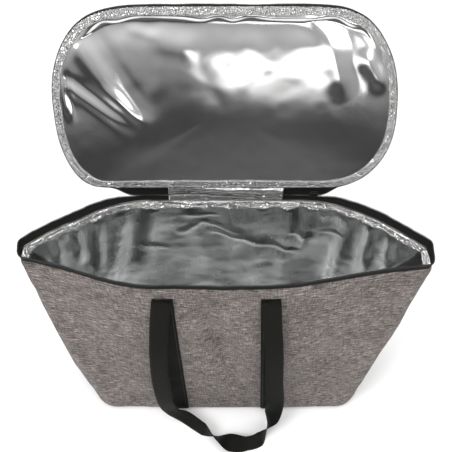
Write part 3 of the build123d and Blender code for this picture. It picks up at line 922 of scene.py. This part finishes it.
def lid_foil_height(x, up, inwards):
    """How far the foil face stands out from the lid's middle plane."""
    edge = 0.0012 + 0.0024 * smoothstep(0, 0.230, up)
    crown = 0.0010 * smoothstep(0, 0.100, inwards) + edge * smoothstep(0, 0.0105, inwards)
    folds = np.zeros(np.shape(x))
    for start, end, width, high in LID_FOLDS:
        along, off = along_and_off(x, up, start, end)
        ends = smoothstep(-0.2, 0.25, along) * (1 - smoothstep(0.75, 1.2, along))
        ridge, hollow = bell(off, 0, width), bell(off, 1.9 * width, width)
        folds = folds + high * (ridge - 0.6 * hollow) * ends
    flat = np.stack(np.broadcast_arrays(x, up, 0.0), axis=-1)
    loose = smoothstep(0.006, 0.020, inwards)
    high = smoothstep(0.09, 0.17, up)
    broad = (0.00012 + 0.00018 * high) * lumps(flat, 0.080, seed=71)
    gutter_at = 0.0135 + 0.0022 * np.sin(x * 95 + 2.0 * np.sin(x * 41))
    sunk = smoothstep(gutter_at - 0.0022, gutter_at + 0.0022, inwards)
    sunk = sunk * (1 - smoothstep(gutter_at + 0.003, 0.062, inwards))
    folds = folds - 0.0015 * sunk * smoothstep(0.17, 0.21, up)
    return crown + loose * (folds + broad)


def lid_back_height(x, up, inwards):
    flat = np.stack(np.broadcast_arrays(x, up, 0.0), axis=-1)
    crown = 0.0012 + 0.0030 * smoothstep(0, 0.012, inwards) + 0.0012 * smoothstep(0, 0.06, inwards)
    return -(crown + 0.0007 * lumps(flat, 0.050, seed=77) * smoothstep(0, 0.02, inwards))


def lid_pieces():
    shares = np.concatenate([np.linspace(0, 0.86, 56), np.linspace(0.87, 1.0, 30)])
    x, up, inwards = lid_grid(shares)
    back = lid_back_height(x, up, inwards)
    face = lid_foil_height(x, up, inwards)
    cover = thick_sheet("lid_cover", lid_place(x, up, back), lid_place(x, up, back + FABRIC), wrap=True, uv=(x, up))
    dress(cover, "lid", fabric, "heather_fabric", "lid_panel")
    x2, up2, inwards2 = lid_grid(shares, -0.0015)
    pad_back = lid_back_height(x2, up2, inwards2) + FABRIC + 0.0001
    pad_face = np.maximum(lid_foil_height(x2, up2, inwards2) - LINER - 0.0001, pad_back + 0.0001)
    pad = thick_sheet("lid_padding", lid_place(x2, up2, pad_face), lid_place(x2, up2, pad_back), wrap=True)
    dress(pad, "lid", foam_white, "closed_cell_foam", "lid_foam")
    lining = thick_sheet("lid_lining", lid_place(x, up, face), lid_place(x, up, face - LINER), wrap=True, uv=(x, up))
    dress(lining, "lid", foil_field, "foil_lining", "lid_liner")
    band_shares = np.linspace(0, 1, 22)[:, None]
    along_rim = np.concatenate([lid_rim, np.zeros((len(lid_rim), 1))], axis=1)
    width = 0.0105 + 0.0016 * lumps(along_rim, 0.025, seed=81)[None]
    bx, bup, b_in = lid_grid(1 - width * (1 - band_shares) / rim_reach[None])
    flat = np.stack([bx, bup, np.zeros_like(bx)], axis=-1)
    crinkle = 0.0013 * (0.7 + lumps(flat, 0.0110, seed=83))
    crinkle = np.maximum(crinkle, 0.0001) * smoothstep(0, 0.15, band_shares) * (1 - smoothstep(0.88, 1, band_shares))
    b_face = lid_foil_height(bx, bup, b_in) + 0.0002
    band = thick_sheet(
        "lid_facing_band", lid_place(bx, bup, b_face + 0.0005 + crinkle), lid_place(bx, bup, b_face), wrap=True
    )
    dress(band, "lid", foil_lid_band_painted_shade, "foil_lining", "lid_facing")
    rows = []
    for inset in (0.0028, 0.0100):
        sx, sup, s_in = lid_grid(1 - inset / rim_reach[None])
        lift = lid_foil_height(sx, sup, s_in)[0] + 0.0022
        line = lid_place(sx[0], sup[0], lift)
        rows.append((line, np.broadcast_to(LID_OUT, line.shape)))
    stitches("lid_edge_stitches", rows, "lid", 0.0022, 0.00026, material=thread_grey, slot="foil_lining")


def lid_zip():
    """The lid's zip tape, folded back round its edge, from one side of the hinge to the other."""
    keep = ~((np.abs(lid_rim[:, 0]) < 0.150) & (lid_rim[:, 1] < LID_MIDDLE))
    start = int(np.argmax(keep))
    order = np.roll(np.arange(len(lid_rim)), -start)
    order = order[keep[order]]
    rim, out = lid_rim[order], rim_out[order]
    share = np.linspace(0, 1, 7)[:, None]
    ripple = lumps(np.concatenate([rim, np.zeros((len(rim), 1))], axis=1), 0.05, seed=91)[None]
    grow = 0.0004 + share * 0.0016 + 0.0006 * ripple * share
    drop = 0.0006 - share * (0.0108 + 0.0006 * ripple)
    middle = lid_place(rim[None, :, 0] + out[None, :, 0] * grow, rim[None, :, 1] + out[None, :, 1] * grow, drop)
    tape_piece("lid_zip_tape", middle, "lid", "zip_tape_lid")
    coil("lid_zip_teeth", middle[-1], -LID_OUT, 0.0008, "lid", "zip_teeth_lid")


# ---- fabric hinge and the ends of the zip ---------------------------------------
HINGE_FOOT = np.array([0, BACK_RIM_Y - 0.0026, 0.2670])
HINGE_LOW = np.array([0, PIVOT[1], 0.2765])
HINGE_TOP = PIVOT + LID_UP * (LID_EDGE + 0.0015)
JOINED_Z = 0.2772  # the joined zip beside the hinge
PART_FROM, PART_TO = 0.128, 0.158  # along the hinge line, where the zip's two halves part


def blend_to_lid(piece):
    """Bakes a piece's placement into its mesh; it is tied to neither the bag's body nor the lid's."""
    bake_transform(piece)


def hinge_sheet(name, half, shift, thick, folds, material, slot, *nodes):
    """One ply of the hinge, from inside the rim up to the lid's edge."""
    across = np.linspace(-half, half, 90)
    profile = spline([HINGE_FOOT, HINGE_LOW, PIVOT + [0, 0, -0.002], HINGE_TOP], 34)
    middle = profile[:, None] + across[None, :, None] * np.array([1.0, 0, 0])
    share = np.linspace(0, 1, 34)[:, None]
    loose = np.sin(np.pi * share) ** 0.6
    pleat = np.cos(2 * np.pi * (share * 2.4 + 0.25 * np.sin(across * 30)[None])) * 0.5 + 0.5
    push = shift + folds * loose * (0.55 * pleat + 0.8 * np.maximum(lumps(middle, 0.014, seed=101), 0))
    front = middle - push[..., None] * np.array([0, 1.0, 0])
    back = front + np.array([0, thick, 0])
    piece = dress(thick_sheet(name, front, back), None, material, slot, *nodes)
    blend_to_lid(piece)
    return piece


def zip_end(name, sign, node):
    """The end of the lid's tape: joined to the bag's beside the hinge, then rising to the lid's edge."""
    xs = np.linspace(HINGE_HALF + 0.0006, PART_TO, 60)
    part = smoothstep(PART_FROM, PART_TO, xs)
    low_side = (lid_rim[:, 1] < LID_MIDDLE) & (lid_rim[:, 0] * sign > 0.04) & (lid_rim[:, 0] * sign < 0.19)
    order = np.argsort(lid_rim[low_side, 0] * sign)
    rim_up = np.interp(xs, lid_rim[low_side, 0][order] * sign, lid_rim[low_side, 1][order])
    top = lid_place(sign * xs, rim_up + 0.0008, 0.0006)
    joined = np.stack([sign * xs, np.full_like(xs, PIVOT[1]), np.full_like(xs, JOINED_Z)], axis=1)
    parted = lid_place(sign * xs, rim_up - 0.0040, -0.0098)
    low = joined * (1 - part[:, None]) + parted * part[:, None]
    share = np.linspace(0, 1, 9)[:, None, None]
    middle = low[None] * (1 - share) + top[None] * share
    middle[..., 1] += 0.0012 * np.sin(np.pi * share[..., 0])
    blend_to_lid(tape_piece(name, middle, None, node))
    blend_to_lid(coil(f"{name}_teeth", low, Z_UP, 0.0004, None))


# ---- webbing ---------------------------------------------------------------------
def wall_y(x, z, back):
    """Y of the outer surface in the middle of the front or back, at x and height z."""
    cols = np.where(on_back if back else ~on_back)[0]
    rows = [np.sort(wall[r, cols, 0]) for r in range(len(HEIGHTS))]
    orders = [cols[np.argsort(wall[r, cols, 0])] for r in range(len(HEIGHTS))]
    here = [np.interp(x, rows[r], wall[r, orders[r], 1]) for r in range(len(HEIGHTS))]
    return np.array([np.interp(zz, HEIGHTS, np.array(here)[:, k]) for k, zz in enumerate(np.atleast_1d(z))])


def sewn_strap(name, middle, back, node):
    """Webbing sewn to a wall from the base seam to where the handle leaves it."""
    sign = 1 if back else -1
    z = np.linspace(0.0045, STRAP_TOP - 0.0005, 70)
    skew = 0 if back else front_skew(z)
    s = np.linspace(-1, 1, 9)
    x = (middle + skew)[:, None] + s[None] * WEB_WIDTH / 2 if not back else middle + s[None] * WEB_WIDTH / 2 + 0 * z[:, None]
    y = np.stack([wall_y(x[:, k], z, back) for k in range(len(s))], axis=1)
    y = y - sign * 0.5 * bevel_inset(z)[:, None]
    inner = np.stack([x, y + sign * 0.00015, np.repeat(z[:, None], len(s), axis=1)], axis=-1)
    thick = WEB * (1 - 0.6 * np.abs(s) ** 8)
    outer = inner + sign * thick[None, :, None] * np.array([0, 1.0, 0])
    piece = thick_sheet(name, outer, inner, uv=(s * WEB_WIDTH / 2, z))
    dress(piece, "bag", web_black, "black_webbing", node)
    rows = []
    for edge in (1, -2):
        rows.append((outer[3:-2, edge] + sign * np.array([0, 0.0001, 0]), np.full((65, 3), [0, sign, 0.0])))
    stitches(f"{name}_stitches", rows, "bag")


LOOP_POINTS = 260


def handle_loop(name, points, across, body, node):
    """A loose loop of webbing, with the direction of its width at each point."""
    centre = spline(points, LOOP_POINTS)
    width_way = unit(spline_values(across, centre, points))
    piece = ribbon(name, centre, width_way, WEB_WIDTH, WEB)
    dress(piece, body, web_black, "black_webbing", node)


def spline_values(values, centre, points):
    """Values given at a spline's points, spread over the curve that passes through them."""
    places = [int(np.argmin(np.linalg.norm(centre - np.array(p), axis=1))) for p in points]
    places[0], places[-1] = 0, len(centre) - 1
    values = np.array(values, float)
    fine = np.arange(len(centre))
    return np.stack([np.interp(fine, places, values[:, k]) for k in range(3)], axis=1)


def straps_and_handles():
    for name, middle in (("left", -STRAP_X), ("right", STRAP_X)):
        sewn_strap(f"front_webbing_{name}", middle, False, f"front_strap_{name}")
        sewn_strap(f"back_webbing_{name}", middle, True, f"back_strap_{name}")
    front_top = float(wall_y(np.array([0.0]), np.array([STRAP_TOP]), False)[0])
    left, right = -STRAP_X + SKEW_RIM, STRAP_X + SKEW_RIM
    points = [
        (left, front_top - 0.0016, 0.2520),
        (left - 0.0010, front_top - 0.0046, 0.2490),
        (left - 0.0055, -0.0830, 0.2150),
        (left - 0.0100, -0.1000, 0.1600),
        (left - 0.0110, -0.1120, 0.1050),
        (left - 0.0075, -0.1190, 0.0600),
        (left - 0.0005, -0.1190, 0.0280),
        (-0.0600, -0.1230, 0.0135),
        (-0.0340, -0.1400, 0.0125),
        (-0.0120, -0.1530, 0.0120),
        (0.0080, -0.1590, 0.0097),
        (0.0310, -0.1610, 0.0122),
        (0.0500, -0.1540, 0.0115),
        (0.0610, -0.1390, 0.0130),
        (0.0680, -0.1250, 0.0270),
        (right + 0.0160, -0.1190, 0.0600),
        (right + 0.0120, -0.1120, 0.1050),
        (right + 0.0090, -0.1000, 0.1600),
        (right + 0.0040, -0.0830, 0.2150),
        (right + 0.0010, front_top - 0.0046, 0.2490),
        (right, front_top - 0.0016, 0.2520),
    ]
    across = [
        (1, 0, 0),
        (1, 0, 0),
        (1, -0.05, 0),
        (1, -0.10, 0),
        (1, -0.15, 0.05),
        (1, -0.10, 0.15),
        (0.9, 0.0, 0.5),
        (0.55, 0.25, 0.8),
        (0.25, 0.35, 0.9),
        (0.05, -0.64, 0.77),
        (0.10, -0.95, -0.25),
        (0.15, -0.50, -0.83),
        (0.40, -0.40, -0.80),
        (0.15, 0.60, -0.78),
        (-0.75, 0.45, -0.20),
        (-0.97, -0.10, 0.10),
        (-1, -0.12, 0.05),
        (-1, -0.10, 0),
        (-1, -0.05, 0),
        (-1, 0, 0),
        (-1, 0, 0),
    ]
    handle_loop("front_handle_webbing", points, across, "front_handle", "front_handle")
    back_top = float(wall_y(np.array([0.0]), np.array([STRAP_TOP]), True)[0])
    half = [
        (-STRAP_X, back_top + 0.0016, 0.2520),
        (-STRAP_X, back_top + 0.0046, 0.2490),
        (-STRAP_X - 0.002, 0.1010, 0.2100),
        (-STRAP_X - 0.004, 0.1140, 0.1500),
        (-STRAP_X - 0.003, 0.1230, 0.0900),
        (-STRAP_X + 0.002, 0.1270, 0.0420),
        (-0.0560, 0.1330, 0.0130),
        (-0.0330, 0.1430, 0.0060),
    ]
    points = half + [(0.0, 0.1480, 0.0050)] + [(-x, y, z) for x, y, z in reversed(half)]
    turn = [(1, 0, 0)] * 3 + [(0.96, 0.28, 0), (0.78, 0.62, 0), (0.45, 0.88, -0.10)]
    turn = turn + [(0.14, 0.98, -0.10), (0.02, 1, -0.04)]
    across = turn + [(0, 1, 0)] + [(-x, y, z) for x, y, z in reversed(turn)]
    handle_loop("back_handle_webbing", points, across, "back_handle", "back_handle")


def frame_materials():
    """Better finishes for the CAD pieces that stay as they are."""
    finishes = {
        "zip_slider": metal_black,
        "zip_pull": metal_black,
        "base_board": board_black,
        "foam_base": foam_white,
    }
    for node, material in finishes.items():
        data = frame["nodes"][node].data
        data.materials.clear()
        data.materials.append(material)


# ---- floor, light and camera ---------------------------------------------------
CAMERA_ELEVATION = math.radians(50)
CAMERA_DISTANCE = 0.66
CAMERA_TARGET = Vector((0, -0.019, 0.335))
LENS_PER_WIDTH = 1.2412  # focal length over the frame's width
SENSOR = 36
HORIZON_MIDDLE, HORIZON_BEND, HORIZON_LIFT = 0.04, 1.26, 0.10
# the sky's brightness at heights from the horizon, 0, to overhead, 1
SKY = [(0.0, 0.28), (0.190, 0.20), (0.240, 0.080), (0.318, 0.070), (0.350, 0.42), (0.44, 0.62), (1.0, 2.1)]
SKY_STRENGTH = 0.66
FLOOR_SIZE = 12
# each light: place, size, power in watts
LIGHTS = {
    "key_light": ((-1.3, -1.0, 1.9), (0.9, 0.9), 21),
    "strip_light": ((0.36, -2.57, 1.50), (0.86, 0.34), 2.2),
    "front_light": ((1.2, -2.0, 2.4), (1.2, 1.2), 16),
    "top_light": ((0.1, 0.6, 2.4), (1.8, 1.8), 18),
}
LIGHTS_AIM = Vector((0, 0, 0.2))


def arched_height(tree, split):
    """The sky's height, lifted to either side so that the dark horizon reads as a low arch."""

    def step(operation, first, second):
        node = tree.nodes.new("ShaderNodeMath")
        node.operation = operation
        for socket, value in zip(node.inputs, (first, second)):
            if isinstance(value, float):
                socket.default_value = value
            else:
                tree.links.new(value, socket)
        return node.outputs[0]

    aside = step("SUBTRACT", split.outputs[0], HORIZON_MIDDLE)
    bend = step("MULTIPLY", step("MULTIPLY", aside, aside), HORIZON_BEND)
    return step("ADD", split.outputs[2], step("MINIMUM", bend, HORIZON_LIFT))


def studio():
    """A pale floor, a soft sky and four soft lights."""
    bpy.ops.mesh.primitive_plane_add(size=FLOOR_SIZE)
    floor = bpy.context.object
    floor.name = "studio_floor"
    white = Shader("studio_white", (0.93, 0.93, 0.93), 0.9)
    floor.data.materials.append(white.material)
    world = bpy.data.worlds.new("studio_world")
    bpy.context.scene.world = world
    world.use_nodes = True
    tree = world.node_tree
    direction = tree.nodes.new("ShaderNodeTexCoord")
    split = tree.nodes.new("ShaderNodeSeparateXYZ")
    ramp = tree.nodes.new("ShaderNodeValToRGB")
    tree.links.new(direction.outputs["Generated"], split.inputs[0])
    tree.links.new(arched_height(tree, split), ramp.inputs[0])
    while len(ramp.color_ramp.elements) < len(SKY):
        ramp.color_ramp.elements.new(0.5)
    for element, (at, level) in zip(ramp.color_ramp.elements, SKY):
        element.position = at
        element.color = (level, level, level, 1)
    background = tree.nodes["Background"]
    tree.links.new(ramp.outputs[0], background.inputs["Color"])
    background.inputs["Strength"].default_value = SKY_STRENGTH
    for name, (place, size, power) in LIGHTS.items():
        data = bpy.data.lights.new(name, "AREA")
        data.shape = "RECTANGLE"
        data.size, data.size_y = size
        data.energy = power
        light = bpy.data.objects.new(name, data)
        bpy.context.scene.collection.objects.link(light)
        light.location = place
        light.rotation_euler = (LIGHTS_AIM - light.location).to_track_quat("-Z", "Y").to_euler()


def camera():
    """The view of the photograph: from above and in front."""
    bpy.context.scene.view_settings.view_transform = "Standard"
    data = bpy.data.cameras.new("photo_camera")
    data.sensor_width = SENSOR
    data.lens = SENSOR * LENS_PER_WIDTH
    obj = bpy.data.objects.new("photo_camera", data)
    bpy.context.scene.collection.objects.link(obj)
    away = Vector((0, -math.cos(CAMERA_ELEVATION), math.sin(CAMERA_ELEVATION)))
    obj.location = CAMERA_TARGET + away * CAMERA_DISTANCE
    obj.rotation_euler = (-away).to_track_quat("-Z", "Y").to_euler()
    bpy.context.scene.camera = obj


camera()
studio()
wall_panels()
base_pieces()
rim_band()
zip_round_mouth()
lid_pieces()
lid_zip()
hinge_sheet("hinge_foil", HINGE_HALF, 0.0004, 0.0005, 0.0026, foil_hinge, "foil_lining", "hinge_facing")
hinge_sheet("hinge_cover", HINGE_HALF, -0.0006, 0.0006, 0.0, fabric, "heather_fabric", "hinge_fabric")
zip_end("left_zip_end", -1, "zip_end_left")
zip_end("right_zip_end", 1, "zip_end_right")
straps_and_handles()
frame_materials()
